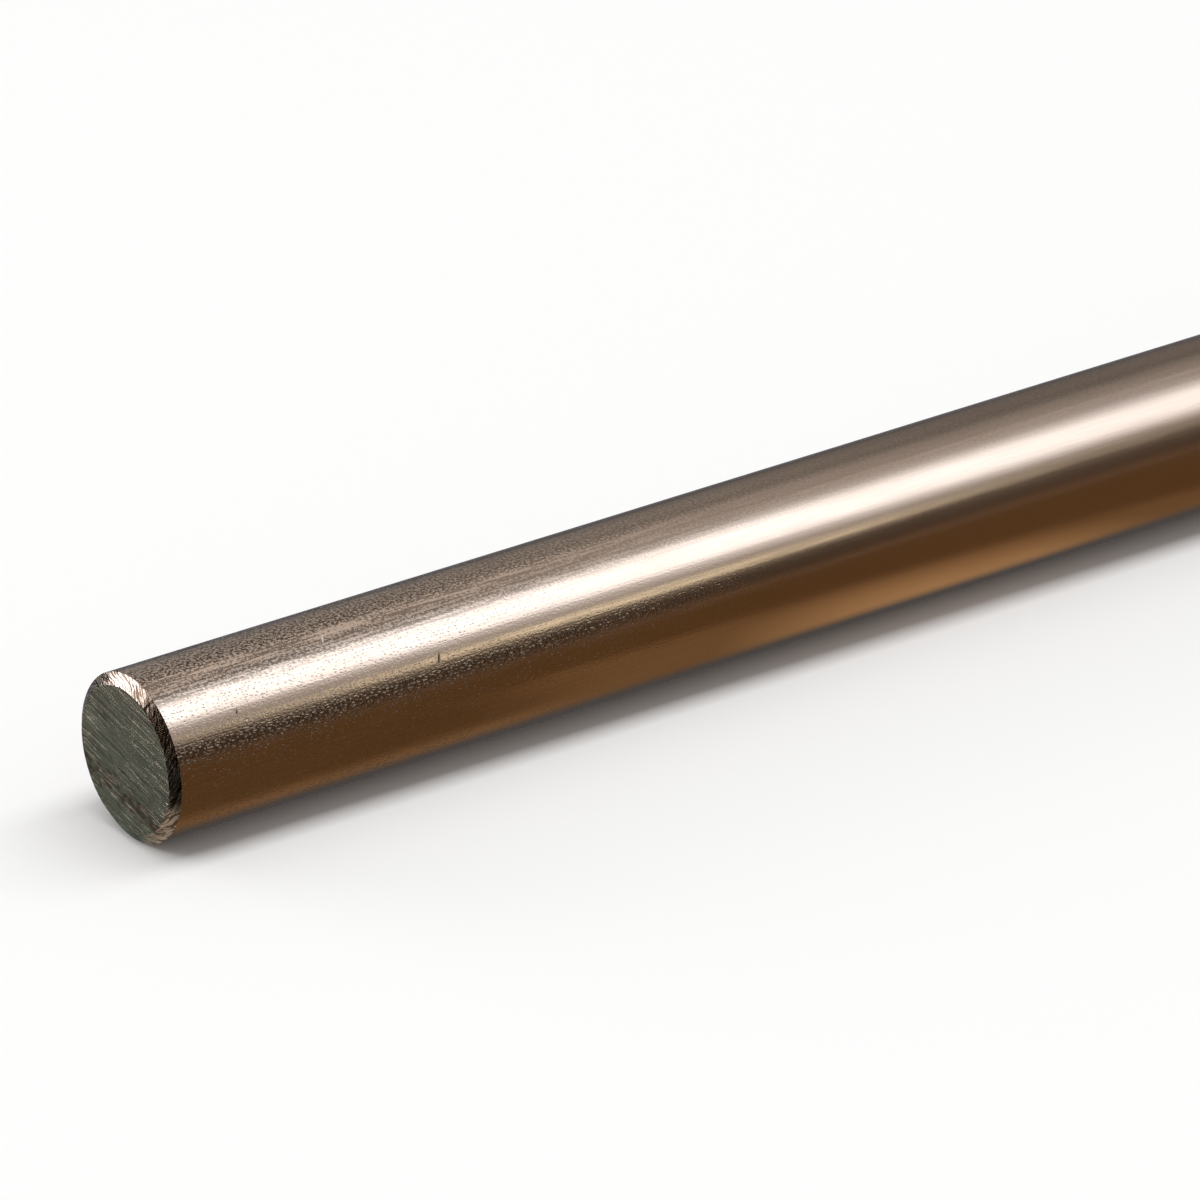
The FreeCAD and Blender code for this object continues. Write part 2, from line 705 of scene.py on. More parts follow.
@dataclass(frozen=True)
class SawnFinish:
    """A sawn face: lines of painted shade along the saw marks, broken bright tears with a painted glint and a
    band of brown smudges.

    Args:
        metal: Colour of the clean metal.
        shade: Colour in the deeper marks.
        smudge: Colour of the smudges.
        bare_and_painted_glint: Colour of the tears.
        roughness: Lowest and highest roughness.
        marks: The broad marks of the saw.
        scratches: The fine ones.
        shaded: Levels of the two between which the metal goes from clean to darkest.
        shading: How far it darkens.
        tears: The thin raised edges that catch the light.
        tear_levels: Levels of their pattern between which a tear rises.
        patches: The smudges' cloudy pattern.
        band: Middle of the band of smudges and its half-width, across the marks and in millimetres.
        band_lift: What the middle of the band adds to that pattern.
        smudge_levels: Levels of it between which a smudge starts.
        smudging: How full the smudges are.
    """

    metal: Colour = (0.78, 0.62, 0.49)
    # shade: Colour of the painted shade in the deeper marks.
    shade: Colour = (0.40, 0.28, 0.25)
    smudge: Colour = (0.40, 0.21, 0.155)
    # bare_and_painted_glint: Colour of the tears, fresh bare metal with a painted glint.
    bare_and_painted_glint: Colour = (0.98, 0.76, 0.60)
    roughness: Span = (0.20, 0.32)
    marks: Grain = Grain((9.0, 0.26), 6.0, 2.0, 1.0)
    scratches: Grain = Grain((4.0, 0.10), 7.0, 2.0, 2.0)
    # shaded: Levels of the two between which the metal goes from clean to the darkest painted shade.
    shaded: Span = (0.52, 0.36)
    shading: float = 0.9
    tears: Grain = Grain((2.4, 0.10), 40.0, 1.0, 6.0)
    tear_levels: Span = (0.612, 0.655)
    patches: Grain = Grain((0.55, 0.34), 0.0, 4.0, 3.3)
    band: Span = (-2.3, 1.1)
    band_lift: float = 0.20
    smudge_levels: Span = (0.56, 0.74)
    smudging: float = 0.9

    def make(self, end: End, mark_angle: float) -> Material:
        """Builds the finish.

        Args:
            end: The end whose face it is for.
            mark_angle: Angle of the saw marks on that face's own map, in radians.

        Returns:
            The material.
        """
        recipe = Recipe(f"sawn_bronze_{end.name.lower()}")
        face = recipe.chart(SKIN_MAP)
        layers = (self.marks, self.scratches, self.tears, self.patches)
        marks, scratches, raised, cloud = (layer.draw(recipe, face, mark_angle) for layer in layers)
        tears = recipe.rise(raised, self.tear_levels)
        heights = (self.tears.height, self.scratches.height, self.marks.height)
        recipe.emboss(recipe.relief(*zip((tears, scratches, marks), heights)))
        level = recipe.product(recipe.maths("ADD", marks, scratches), 0.5)
        # Painted shade in the deeper saw marks.
        colour = recipe.blend(recipe.rise(level, self.shaded, self.shading), self.metal, self.shade)
        across = recipe.split(recipe.stretch(face, (1.0, 1.0), -mark_angle))[1]
        off_band = recipe.maths("ABSOLUTE", recipe.maths("SUBTRACT", across, self.band[0]))
        cloud = recipe.maths("ADD", cloud, recipe.fit(off_band, 0.0, self.band[1], self.band_lift, 0.0))
        colour = recipe.blend(recipe.rise(cloud, self.smudge_levels, self.smudging), colour, self.smudge)
        # The tears' colour paints a glint on the raised bare metal.
        colour = recipe.blend(tears, colour, self.bare_and_painted_glint)
        return recipe.finish_metal(colour, recipe.fit(scratches, CLOUD_LOW, CLOUD_HIGH, *self.roughness))


@dataclass(frozen=True)
class FiledFinish:
    """A chamfer filed by hand: slanting strokes with painted shade in them.

    Args:
        metal: Colour of the clean metal.
        shade: Colour of the painted shade in the strokes.
        roughness: Lowest and highest roughness.
        lean: Angle of the broad strokes from the way round the bar, in degrees.
        cross_lean: Angle of the fine ones.
        strokes: The broad strokes.
        scratches: The fine ones, which cross them.
        shaded: Levels of either pattern between which the metal goes from the darkest painted shade to clean.
    """

    metal: Colour = (0.84, 0.66, 0.53)
    shade: Colour = (0.20, 0.135, 0.095)
    roughness: Span = (0.16, 0.26)
    lean: float = 17.0
    cross_lean: float = 34.0
    strokes: Grain = Grain((1.5, 0.14), 15.0, 1.0, 4.0)
    scratches: Grain = Grain((1.3, 0.10), 11.0, 1.0, 8.0)
    shaded: Span = (0.415, 0.475)

    def make(self) -> Material:
        """Builds the finish.

        Returns:
            The material.
        """
        recipe = Recipe("filed_bronze")
        skin = recipe.chart(SKIN_MAP)
        strokes = self.strokes.draw(recipe, skin, math.radians(self.lean))
        scratches = self.scratches.draw(recipe, skin, math.radians(self.cross_lean))
        recipe.emboss(recipe.relief((strokes, self.strokes.height), (scratches, self.scratches.height)))
        level = recipe.maths("MINIMUM", strokes, scratches)
        # Painted shade in the grooves of the file strokes.
        colour = recipe.blend(recipe.fall(level, self.shaded), self.metal, self.shade)
        return recipe.finish_metal(colour, recipe.fit(scratches, CLOUD_LOW, CLOUD_HIGH, *self.roughness))


@dataclass(frozen=True)
class Furrows:
    """One layer of a saw's marks.

    Args:
        pitch: Distance from one to the next, as a share of the main marks' distance.
        run: Length over which one changes.
        bowed: How far it follows the bow of the main marks.
        share: Its share of the deepest mark's depth, to each side of the mean.
    """

    pitch: float
    run: float
    bowed: float
    share: float


@dataclass(frozen=True)
class SawMarks:
    """The relief that the saw left on one face, all of it cut into the metal.

    Args:
        seed: Picks this face's marks.
        angle: Angle of the marks on the face, in radians from its first axis.
        pitch: Distance from mark to mark.
        depth: Depth of the deepest mark.
        bow: How far the marks bow sideways, as a share of that distance.
        bow_reach: Length of a bow along the marks and across them.
        layers: The main marks, the fine ones between them and the broad steps.
        mean: Mean depth, as a share of the deepest.
        rows_per_mark: Rows of vertices across each mark.
        run: Distance between vertices along the marks.
    """

    seed: int
    angle: float
    pitch: float = 0.13 * MILLIMETRE
    depth: float = 14 * MICRON
    bow: float = 0.6
    bow_reach: Span = (4 * MILLIMETRE, 3 * MILLIMETRE)
    layers: tuple[Furrows, ...] = (
        Furrows(1.0, 5 * MILLIMETRE, 1.0, 0.26),
        Furrows(0.45, 1.6 * MILLIMETRE, 0.0, 0.12),
        Furrows(4.0, 9 * MILLIMETRE, 0.15, 0.22),
    )
    mean: float = 0.5
    rows_per_mark: int = 5
    run: float = 0.35 * MILLIMETRE

    @property
    def row(self) -> float:
        """Distance between two rows of vertices."""
        return self.pitch / self.rows_per_mark

    def turned(self, flat: np.ndarray, back: bool = False) -> np.ndarray:
        """Turns places on the face so that the marks run along the first axis.

        Args:
            flat: Places on the face, one a row.
            back: True to turn them back again.

        Returns:
            The turned places.
        """
        angle = self.angle if back else -self.angle
        cos, sin = math.cos(angle), math.sin(angle)
        return np.stack((flat[:, 0] * cos - flat[:, 1] * sin, flat[:, 0] * sin + flat[:, 1] * cos), axis=1)

    def sunk(self, flat: np.ndarray) -> np.ndarray:
        """How far each place on the face lies below its plane.

        Args:
            flat: Places on the face, one a row.

        Returns:
            Depths, none below zero or above the deepest mark.
        """
        along, across = self.turned(flat).T
        bow = self.bow * Ripple(self.seed).at(along / self.bow_reach[0], across / self.bow_reach[1])
        level = self.mean
        for step, layer in enumerate(self.layers, start=1):
            over = across / (layer.pitch * self.pitch) + layer.bowed * bow
            level = level + layer.share * Ripple(self.seed + step).at(over, along / layer.run)
        return self.depth * np.clip(level, 0, 1)

    def lattice(self, reach: float) -> np.ndarray:
        """Spreads vertices over the face, close across the marks and wide apart along them.

        Args:
            reach: How far from the middle the vertices may go.

        Returns:
            Places on the face, one a row.
        """
        runs = np.arange(-reach, reach, self.run)
        rows = np.arange(-reach, reach, self.row)
        grid = np.stack(np.meshgrid(runs, rows), axis=-1)
        grid[1::2, :, 0] += self.run / 2
        grid = grid.reshape(-1, 2)
        grid = grid[np.hypot(grid[:, 0], grid[:, 1]) < reach]
        return self.turned(grid, back=True)


@dataclass(frozen=True)
class FiledRim:
    """A chamfer filed round one end by hand, uneven in width and scored by the strokes.

    Args:
        seed: Picks this end's strokes.
        along: Depth of the chamfer along the bar.
        across: Depth of the chamfer across the sawn face.
        fullest: Its greatest width, as a share of the nominal one.
        uneven: Share by which its width wanders below that.
        waves: How often each wave of its width comes round the bar, and its share of that.
        mean: Mean of the width's waves and of the strokes' depth, as a share of the whole.
        stroke_depth: Depth of the deepest stroke.
        stroke_pitch: Distance from stroke to stroke.
        passes: Lean in degrees and length of the strokes of the file's first and second pass.
        pass_length: Way round the bar over which one pass gives way to the other.
        pass_change: How sharply it does so.
        rows: Rows of vertices from rim to rim.
    """

    seed: int
    along: float
    across: float
    fullest: float = 1.12
    uneven: float = 0.22
    waves: tuple[tuple[int, float], ...] = ((9, 0.35), (34, 0.2), (170, 0.07))
    mean: float = 0.5
    stroke_depth: float = 6 * MICRON
    stroke_pitch: float = 0.24 * MILLIMETRE
    passes: tuple[Span, Span] = ((-17.0, 1.8 * MILLIMETRE), (-35.0, 1.5 * MILLIMETRE))
    pass_length: float = 5 * MILLIMETRE
    pass_change: float = 2.0
    rows: int = 14

    def width(self, angles: np.ndarray) -> np.ndarray:
        """The chamfer's width round the bar, as a share of its nominal one.

        Args:
            angles: Angles round the bar, a whole turn in even steps.

        Returns:
            The share at each angle.
        """
        level = self.mean
        for step, (count, share) in enumerate(self.waves):
            level = level + share * Ripple(self.seed + step).at(count * angles / math.tau, wrap=count)
        return self.fullest * (1 - self.uneven * np.clip(level, 0, 1))

    def scored(self, arc: np.ndarray, across: float) -> np.ndarray:
        """How deep the file cut along one line round the chamfer.

        Args:
            arc: Way round the bar to each place.
            across: Way across the chamfer to the line.

        Returns:
            The depth at each place.
        """
        first_seed = self.seed + len(self.waves)
        cuts = []
        for step, (lean, length) in enumerate(self.passes):
            cos, sin = math.cos(math.radians(lean)), math.sin(math.radians(lean))
            over_stroke = (across * cos - arc * sin) / self.stroke_pitch
            cuts.append(Ripple(first_seed + step).at(over_stroke, (arc * cos + across * sin) / length))
        change = Ripple(first_seed + len(self.passes)).at(arc / self.pass_length)
        second_pass = np.clip(self.pass_change * change, 0, 1)
        level = self.mean + (cuts[0] * (1 - second_pass) + cuts[1] * second_pass) / 2
        return self.stroke_depth * np.clip(level, 0, 1)


@dataclass
class BronzeBar:
    """The whole bar as one closed mesh: drawn skin, two filed chamfers and two sawn faces.

    Args:
        length: Length between the sawn faces.
        radius: Radius of the drawn skin.
        axis_height: Height of the bar's axis above the surface that it lies on.
        chamfer_along: Depth of the chamfers along the bar.
        chamfer_across: Depth of the chamfers across the sawn faces.
        around: Vertices in a ring round the bar.
        skin_rows: Rings along the drawn skin.
        bunching: How far those rings draw together towards the ends, where 1 is evenly spaced.
        die_line: Depth of the lengthwise lines that the die left.
        die_lines: How many of them lie round the bar.
        die_run: Length over which one changes.
        out_of_true: How far the skin wanders in long shallow waves.
        waves: How many of those lie round the bar.
        wave_run: Length of a wave along the bar.
        pinning: How closely the skin keeps to its full reach only at the top, bottom and sides.
        marks: The saw marks of each end.
        rims: The chamfer of each end.
    """

    length: float
    radius: float
    axis_height: float
    chamfer_along: float
    chamfer_across: float
    around: int = 640
    skin_rows: int = 64
    bunching: float = 1.6
    die_line: float = 1.6 * MICRON
    die_lines: int = 150
    die_run: float = 40 * MILLIMETRE
    out_of_true: float = 10 * MICRON
    waves: int = 14
    wave_run: float = 9 * MILLIMETRE
    pinning: float = 0.25
    marks: dict[End, SawMarks] = field(default_factory=dict)
    rims: dict[End, FiledRim] = field(default_factory=dict)

    @classmethod
    def from_frame(cls) -> "BronzeBar":
        """Reads the bar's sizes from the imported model.

        Returns:
            A bar of those sizes.
        """
        low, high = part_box(BAR_NODE)
        radius, middle = (high.z - low.z) / 2, (high.z + low.z) / 2
        points = np.array([vertex.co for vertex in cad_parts[BAR_NODE].data.vertices])
        reach = np.hypot(points[:, 1], points[:, 2] - middle)
        face_radius = reach[points[:, 0] < low.x + MICRON].max()
        skin_start = points[reach > radius - MICRON, 0].min()
        return cls(high.x - low.x, radius, middle, skin_start - low.x, reach.max() - face_radius)

    def __post_init__(self) -> None:
        """Gives each end its own saw marks and file strokes."""
        for end, (seed, angle) in END_MARKS.items():
            self.marks[end] = SawMarks(seed, math.radians(angle))
            self.rims[end] = FiledRim(seed + RIM_SEED_STEP, self.chamfer_along, self.chamfer_across)

    @property
    def angles(self) -> np.ndarray:
        """Angles of the vertices in a ring, from the bottom round to the bottom again."""
        return -math.pi + math.tau * np.arange(self.around) / self.around

    @property
    def slope(self) -> float:
        """Nominal width of the chamfers, measured on their own surface."""
        return math.hypot(self.chamfer_along, self.chamfer_across)

    def ring(self, x: np.ndarray | float, reach: np.ndarray | float) -> np.ndarray:
        """Places one ring of vertices.

        Args:
            x: Way along the bar, for all or for each angle.
            reach: Distance from the bar's axis, for all or for each angle.

        Returns:
            The ring's places, one a row.
        """
        angles = self.angles
        x = np.broadcast_to(x, angles.shape)
        return np.stack((x, -reach * np.sin(angles), self.axis_height + reach * np.cos(angles)), axis=1)

    def flat(self, places: np.ndarray) -> np.ndarray:
        """Places as they lie on a sawn face, to the side and up from the bar's axis."""
        return np.stack((-places[:, 1], places[:, 2] - self.axis_height), axis=1)

    def sawn(self, end: End, flat: np.ndarray) -> np.ndarray:
        """Way along the bar to the surface of a sawn face.

        Args:
            end: The end that the face is on.
            flat: Places on the face, one a row.

        Returns:
            The way at each place.
        """
        return end.value * (self.length / 2 - self.marks[end].sunk(flat))

    def skin_reach(self, x: float) -> np.ndarray:
        """Distance of the drawn skin from the axis at one place along the bar.

        Args:
            x: Way along the bar.

        Returns:
            The distance at each angle, never more than the bar's radius.
        """
        turn = self.angles / math.tau
        lines = Ripple(LINE_SEED).at(self.die_lines * turn, x / self.die_run, wrap=self.die_lines)
        waves = Ripple(WAVE_SEED).at(self.waves * turn, x / self.wave_run, wrap=self.waves)
        sunk = self.die_line * (1 + lines) / 2 + self.out_of_true * (1 + waves) / 2
        return self.radius - sunk * np.abs(np.sin(2 * self.angles)) ** self.pinning

    def chamfer_rings(self, end: End) -> list[np.ndarray]:
        """Rings of one chamfer, from the sawn face's rim out to the last one before the skin.

        Args:
            end: The end that the chamfer is on.

        Returns:
            The rings in that order.
        """
        rim = self.rims[end]
        width = rim.width(self.angles)
        tip = self.length / 2
        skin = self.skin_reach(end.value * (tip - rim.along))
        rings = []
        for row in range(rim.rows):
            share = row / rim.rows
            depth = rim.scored(self.angles * self.radius, share * self.slope)
            depth = depth * math.sqrt(math.sin(math.pi * share)) / self.slope
            x = tip - width * rim.along * share - depth * rim.across
            reach = skin - width * rim.across * (1 - share) - depth * rim.along
            rings.append(self.ring(end.value * x, reach))
        return rings

    def skin_rings(self) -> list[np.ndarray]:
        """Rings of the drawn skin from the near chamfer's outer edge to the far one's.

        Returns:
            The rings in that order.
        """
        near, far = (end.value * (self.length / 2 - self.rims[end].along * self.rims[end].width(self.angles))
                     for end in End)
        steps = np.linspace(-1, 1, self.skin_rows)
        bunched = np.sign(steps) * (1 - (1 - np.abs(steps)) ** self.bunching)
        rings = []
        for place in bunched:
            x = near + (far - near) * (place + 1) / 2
            rings.append(self.ring(x, self.skin_reach(float(x.mean()))))
        return rings

    def face(self, end: End, rim: np.ndarray) -> tuple[np.ndarray, list[Face]]:
        """Fills one sawn face with its relief.

        Args:
            end: The end that the face is on.
            rim: Places of the ring of vertices round the face.

        Returns:
            Places of the vertices inside the rim, and triangles, which count the rim's vertices first.
        """
        marks = self.marks[end]
        edge = self.flat(rim)
        inside = marks.lattice(np.hypot(edge[:, 0], edge[:, 1]).min() - marks.row)
        squeeze = np.array((1 / marks.run, 1 / marks.row))
        plane = marks.turned(np.concatenate((edge, inside))) * squeeze
        outline = list(range(self.around))
        points, _, triangles, came_from, _, _ = delaunay_2d_cdt(
            [Vector(place) for place in plane], [], [outline], FILL_INSIDE, MERGE_DISTANCE)
        if len(points) != len(plane):
            raise ValueError("the sawn face's vertices don't match its triangles")
        order = [origin[0] for origin in came_from]
        filled = [tuple(order[corner] for corner in triangle) for triangle in triangles]
        places = (self.sawn(end, inside), -inside[:, 0], self.axis_height + inside[:, 1])
        return np.stack(places, axis=1), filled

    def walls(self, rings: int, filed_rings: int) -> tuple[list[Face], list[int]]:
        """Joins each ring of vertices to the next one.

        Args:
            rings: Number of rings.
            filed_rings: How many of them each chamfer has.

        Returns:
            The faces, and the material slot of each.
        """
        faces, slots = [], []
        for row in range(rings - 1):
            filed = row < filed_rings or row >= rings - 1 - filed_rings
            here, there = row * self.around, (row + 1) * self.around
            for step in range(self.around):
                after = (step + 1) % self.around
                faces.append((here + step, there + step, there + after, here + after))
                slots.append((Surface.FILED if filed else Surface.DRAWN).value)
        return faces, slots

    def build(self) -> Object:
        """Builds the bar's closed mesh, with its unrolled map and a slot for each surface.

        Returns:
            The bar, not yet dressed.
        """
        near, far = (self.chamfer_rings(end) for end in End)
        rings = [*near, *self.skin_rings(), *reversed(far)]
        rims = {End.NEAR: 0, End.FAR: len(rings) - 1}
        for end, row in rims.items():
            rings[row][:, 0] = self.sawn(end, self.flat(rings[row]))
        faces, slots = self.walls(len(rings), len(near))
        places = [np.concatenate(rings)]
        for end, row in rims.items():
            inside, triangles = self.face(end, rings[row])
            rim, start = range(row * self.around, (row + 1) * self.around), sum(map(len, places))
            move = [*rim, *range(start, start + len(inside))]
            faces += [tuple(move[corner] for corner in triangle) for triangle in triangles]
            slots += [Surface.SAWN.value + (end is End.FAR)] * len(triangles)
            places.append(inside)
        mesh = bpy.data.meshes.new("bronze_bar")
        mesh.from_pydata(np.concatenate(places).tolist(), [], faces)
        mesh.polygons.foreach_set("material_index", slots)
        self.close(mesh)
        self.unroll(mesh)
        return place_in_scene("bronze_bar", mesh)

    @staticmethod
    def close(mesh: bpy.types.Mesh) -> None:
        """Turns every face outwards, shades the mesh smooth and makes sure that it is closed.

        Args:
            mesh: The bar's mesh.
        """
        work = bmesh.new()
        work.from_mesh(mesh)
        bmesh.ops.recalc_face_normals(work, faces=work.faces)
        loose = sum(not edge.is_manifold for edge in work.edges)
        for face in work.faces:
            face.smooth = True
        for edge in work.edges:
            edge.smooth = len({face.material_index for face in edge.link_faces}) == 1
        work.to_mesh(mesh)
        work.free()
        if loose:
            raise ValueError(f"the bar's mesh is open at {loose} edges")

    def unroll(self, mesh: bpy.types.Mesh) -> None:
        """Writes the map in millimetres: way round and along on the skin, and the flat place on a sawn face.

        Args:
            mesh: The bar's mesh.
        """
        layer = mesh.uv_layers.new(name=SKIN_MAP)
        places = gather(mesh.vertices, "co", float, 3).reshape(-1, 3)[gather(mesh.loops, "vertex_index", int)]
        totals = gather(mesh.polygons, "loop_total", int)
        slots = np.repeat(gather(mesh.polygons, "material_index", int), totals)
        faces = np.repeat(np.arange(len(totals)), totals)
        flat = self.flat(places)
        angle = np.arctan2(flat[:, 0], flat[:, 1])
        highest = np.full(len(totals), -math.inf)
        np.maximum.at(highest, faces, angle)
        angle = np.where(highest[faces] - angle > math.pi, angle + math.tau, angle)
        outwards = (np.abs(places[:, 0]) - self.length / 2) * self.slope / self.chamfer_along
        along = np.where(slots == Surface.FILED.value, outwards, places[:, 0])
        skin = np.stack((angle * self.radius, along), axis=1)
        chart = np.where(slots[:, np.newaxis] >= Surface.SAWN.value, flat, skin)
        layer.data.foreach_set("uv", (chart / MILLIMETRE).ravel())

    def dress(self, bar: Object) -> None:
        """Gives each surface of the bar its finish.

        Args:
            bar: The built bar.
        """
        bar.data.materials.append(DrawnFinish().make())
        bar.data.materials.append(FiledFinish().make())
        for end in End:
            bar.data.materials.append(SawnFinish().make(end, self.marks[end].angle))

    def make(self) -> Object:
        """Builds and dresses the bar in the CAD node's place.

        Returns:
            The finished bar.
        """
        bar = self.build()
        self.dress(bar)
        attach(bar, "root")
        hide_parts(BAR_NODE)
        return bar


@dataclass(frozen=True)
class Viewpoint:
    """The photograph's camera, which looks down at the near end from its left.

    Args:
        azimuth: Angle of the view from +Y towards +X, in degrees.
        dip: Angle of the view below the horizon, in degrees.
        focal_pixels: Focal length in pixels of the photograph.
        distance: Distance of the near sawn face along the view.
        face_pixel: Where the photograph shows the middle of that face.
        frame_pixels: Width of the photograph.
        sensor: Width of the sensor in millimetres.
        nearest: Distance from which the camera sees.
    """

    azimuth: float = 35.563
    dip: float = 25.954
    focal_pixels: float = 12908.5
    distance: float = 0.71704
    face_pixel: Span = (125.1, 760.1)
    frame_pixels: float = 1200.0
    sensor: float = 36.0
    nearest: float = 0.01

    def axes(self) -> tuple[Vector, Vector, Vector]:
        """Finds the camera's directions.

        Returns:
            Its right, up and forward directions.
        """
        turn, dip = math.radians(self.azimuth), math.radians(self.dip)
        forward = Vector((math.sin(turn) * math.cos(dip), math.cos(turn) * math.cos(dip), -math.sin(dip)))
        right = Vector((math.cos(turn), -math.sin(turn), 0))
        return right, right.cross(forward), forward

    def make(self, aim: Vector) -> None:
        """Places the camera.

        Args:
            aim: The middle of the near sawn face.
        """
        right, up, forward = self.axes()
        half = self.frame_pixels / 2
        sideways = (self.face_pixel[0] - half) / self.focal_pixels
        upwards = (half - self.face_pixel[1]) / self.focal_pixels
        lens = bpy.data.cameras.new("photograph_camera")
        lens.sensor_width = self.sensor
        lens.lens = self.sensor * self.focal_pixels / self.frame_pixels
        lens.clip_start = self.nearest
        camera = place_in_scene("photograph_camera", lens)
        stand(camera, aim - self.distance * (forward + sideways * right + upwards * up), right, up, -forward)
        bpy.context.scene.camera = camera


@dataclass(frozen=True)
class Softbox:
    """A lamp with an even rectangular face, which points at the bar.

    Args:
        name: Name of the lamp.
        place: Where its middle hangs.
        size: Its length along X and its width.
        brightness: Brightness of its face, where 1 is the white of the picture.
    """

    name: str
    place: Point
    size: Span
    brightness: float

    def make(self, aim: Vector) -> None:
        """Hangs the lamp, which the metal doesn't mirror, because a card stands in for it there.

        Args:
            aim: The point that it faces.
        """
        light = bpy.data.lights.new(self.name, "AREA")
        light.shape = "RECTANGLE"
        light.size, light.size_y = self.size
        light.energy = self.brightness * math.pi * light.size * light.size_y
        lamp = place_in_scene(self.name, light)
        back = (Vector(self.place) - aim).normalized()
        side = Vector((1, 0, 0))
        if abs(back.x) >= STRAIGHT_OVER:
            side = Vector((0, 0, 1)).cross(back).normalized()
        stand(lamp, Vector(self.place), side, back.cross(side), back)
        lamp.visible_camera = False
        lamp.visible_glossy = False


@dataclass(frozen=True)
class Tones:
    """Colours with a smooth change from one to the next.

    Args:
        steps: The place of each colour, from 0 to 1, and the colour.
    """

    steps: tuple[tuple[float, Colour], ...]

    def read(self, recipe: Recipe, share: Socket) -> Socket:
        """Reads the colour at a place.

        Args:
            recipe: The material to draw in.
            share: The place, from 0 to 1.

        Returns:
            The socket of the colour.
        """
        ramp = recipe.node("ValToRGB")
        elements = ramp.color_ramp.elements
        while len(elements) < len(self.steps):
            elements.new(1.0)
        for element, (place, tone) in zip(elements, self.steps):
            element.position = place
            element.color = (*tone, 1.0)
        recipe.feed(ramp.inputs["Fac"], share)
        return ramp.outputs["Color"]


class ReflectedCard:
    """A plain card beside the bar that only the reflections in its metal show."""

    def tint(self, recipe: Recipe, first: Socket, second: Socket) -> Socket:
        """Draws the card's brightness and colour.

        Args:
            recipe: The card's material.
            first: First coordinate of a place on the card's map.
            second: Second coordinate of it.

        Returns:
            The socket of the colour.
        """
        raise NotImplementedError

    def hang(self, name: str, places: list[Vector], faces: list[Face], chart: list[Span]) -> None:
        """Makes the card and lets only reflections see it.

        Args:
            name: Name of the card.
            places: Its corners.
            faces: Which corners each of its faces joins.
            chart: The place of each corner on the card's own map.
        """
        mesh = bpy.data.meshes.new(name)
        mesh.from_pydata(places, [], faces)
        layer = mesh.uv_layers.new(name=CARD_MAP)
        for loop in mesh.loops:
            layer.data[loop.index].uv = chart[loop.vertex_index]
        recipe = Recipe(name)
        glow = recipe.node("Emission")
        recipe.feed(glow.inputs["Color"], self.tint(recipe, *recipe.split(recipe.chart(CARD_MAP))))
        recipe.feed(recipe.tree.nodes["Material Output"].inputs["Surface"], glow.outputs[0])
        recipe.material.cycles.emission_sampling = "NONE"
        mesh.materials.append(recipe.material)
        card = place_in_scene(name, mesh)
        for rays in ("camera", "diffuse", "shadow", "transmission", "volume_scatter"):
            setattr(card, "visible_" + rays, False)

    def lay(self, name: str, low: Point, high: Point) -> None:
        """Lays or stands a rectangle, with its map in metres.

        Args:
            name: Name of the card.
            low: Its lowest corner.
            high: Its highest corner, level with the other one along X, Y or Z.
        """
        corners, chart = rectangle(Vector(low), Vector(high))
        self.hang(name, corners, [(0, 1, 2, 3)], chart)

    def lay_on_floor(self, name: str, near: float, far: float) -> None:
        """Lays a rectangle on the floor, equally far to both sides of the bar.

        Args:
            name: Name of the card.
            near: Where it starts along X.
            far: Where it stops along X.
        """
        self.lay(name, (near, -CARD_REACH, CARD_HEIGHT), (far, CARD_REACH, CARD_HEIGHT))


@dataclass(frozen=True)
class Surround(ReflectedCard):
    """A grey card that stands all round the bar, brown and dark below and lightest at its top.

    Args:
        reach: Distance from the bar.
        front: Height on the side of the camera.
        back: Height on the other side.
        panels: Number of flat panels round the bar.
        tones: Colours from its foot to its top.
        dark: Colour of its dark stretch, which the metal at the near end mirrors.
        stretch: Angles round the bar between which that one ends, in radians.
        dark_top: Heights between which it ends, as shares of the card's height.
        dark_foot: Heights between which it starts, as such shares.
    """

    reach: float = 2.0
    front: float = 1.58
    back: float = 2.5
    panels: int = 72
    tones: Tones = Tones((
        (0.0, (0.138, 0.092, 0.056)),
        (0.09, (0.112, 0.074, 0.046)),
        (0.20, (0.080, 0.060, 0.043)),
        (0.40, (0.088, 0.074, 0.060)),
        (0.54, (0.105, 0.092, 0.078)),
        (0.61, (0.19, 0.185, 0.17)),
        (0.74, (0.29, 0.29, 0.275)),
        (1.0, (0.38, 0.38, 0.38)),
    ))
    dark: Colour = (0.030, 0.022, 0.016)
    stretch: Span = (5.205, 5.245)
    dark_top: Span = (0.50, 0.60)
    dark_foot: Span = (0.06, 0.16)

    def make(self) -> None:
        """Stands the card up."""
        places, chart, faces = [], [], []
        for panel in range(self.panels):
            turn = math.tau * panel / self.panels
            x, y = math.cos(turn), math.sin(turn)
            height = (self.front + self.back) / 2 + y * (self.back - self.front) / 2
            for share in (0.0, 1.0):
                places.append(Vector((self.reach * x, self.reach * y, share * height)))
                chart.append((turn, share))
            after = (panel + 1) % self.panels
            faces.append((2 * panel, 2 * panel + 1, 2 * after + 1, 2 * after))
        self.hang("surround_card", places, faces, chart)

    def tint(self, recipe: Recipe, first: Socket, second: Socket) -> Socket:
        """Goes through the tones from the card's foot to its top, and darkens the low part of a stretch.

        Args:
            recipe: The card's material.
            first: Angle round the bar, in radians.
            second: Height, as a share of the card's.

        Returns:
            The socket of the colour.
        """
        low = recipe.product(recipe.fall(second, self.dark_top), recipe.rise(second, self.dark_foot))
        share = recipe.product(low, recipe.fall(first, self.stretch))
        return recipe.blend(share, self.tones.read(recipe, second), self.dark)


